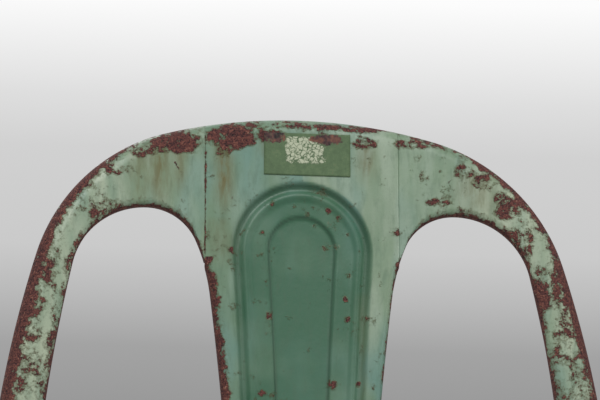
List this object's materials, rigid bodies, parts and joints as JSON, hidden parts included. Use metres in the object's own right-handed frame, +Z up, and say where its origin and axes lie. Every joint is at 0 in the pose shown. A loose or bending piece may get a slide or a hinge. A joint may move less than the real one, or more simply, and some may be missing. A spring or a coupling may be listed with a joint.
{
  "type": "stacking chair",
  "caption": "Stacking cafe chair of pressed sheet steel, with a round-topped open back, an embossed tapering splat, a dished pan seat and splayed folded legs.",
  "frame": {"origin": "on the floor under the middle of the chair's bounding box", "axes": "+Z up, +X to the right of someone who looks at the front of the chair, -Y the way the chair faces"},
  "size_m": [0.4392, 0.5094, 0.8498],
  "materials": {
    "green_paint": "old semi-gloss oil paint on sheet steel, chipped and rusted through at the edges",
    "rivet_steel": "painted steel rivet heads, mostly rusted",
    "glide_rubber": "dull black rubber",
    "label_remains": "the flaked remains of a blank transfer label"
  },
  "bodies": {
    "root": {"seat_pan": "green_paint", "apron_front": "green_paint", "apron_rear": "green_paint", "apron_right": "green_paint", "apron_left": "green_paint", "leg_front_right": "green_paint", "leg_front_left": "green_paint", "leg_rear_right": "green_paint", "leg_rear_left": "green_paint", "hoop_tube": "green_paint", "back_splat": "green_paint", "back_arm_right": "green_paint", "back_arm_left": "green_paint", "strap_lower": "green_paint", "strap_upper": "green_paint", "splat_rivet_1": "rivet_steel", "splat_rivet_2": "rivet_steel", "splat_rivet_3": "rivet_steel", "strap_rivet_centre": "rivet_steel", "strap_rivet_front_right": "rivet_steel", "strap_rivet_front_left": "rivet_steel", "strap_rivet_rear_right": "rivet_steel", "strap_rivet_rear_left": "rivet_steel", "glide_front_right": "glide_rubber", "glide_front_left": "glide_rubber", "glide_rear_right": "glide_rubber", "glide_rear_left": "glide_rubber", "back_label": "label_remains"}
  },
  "joints": []
}
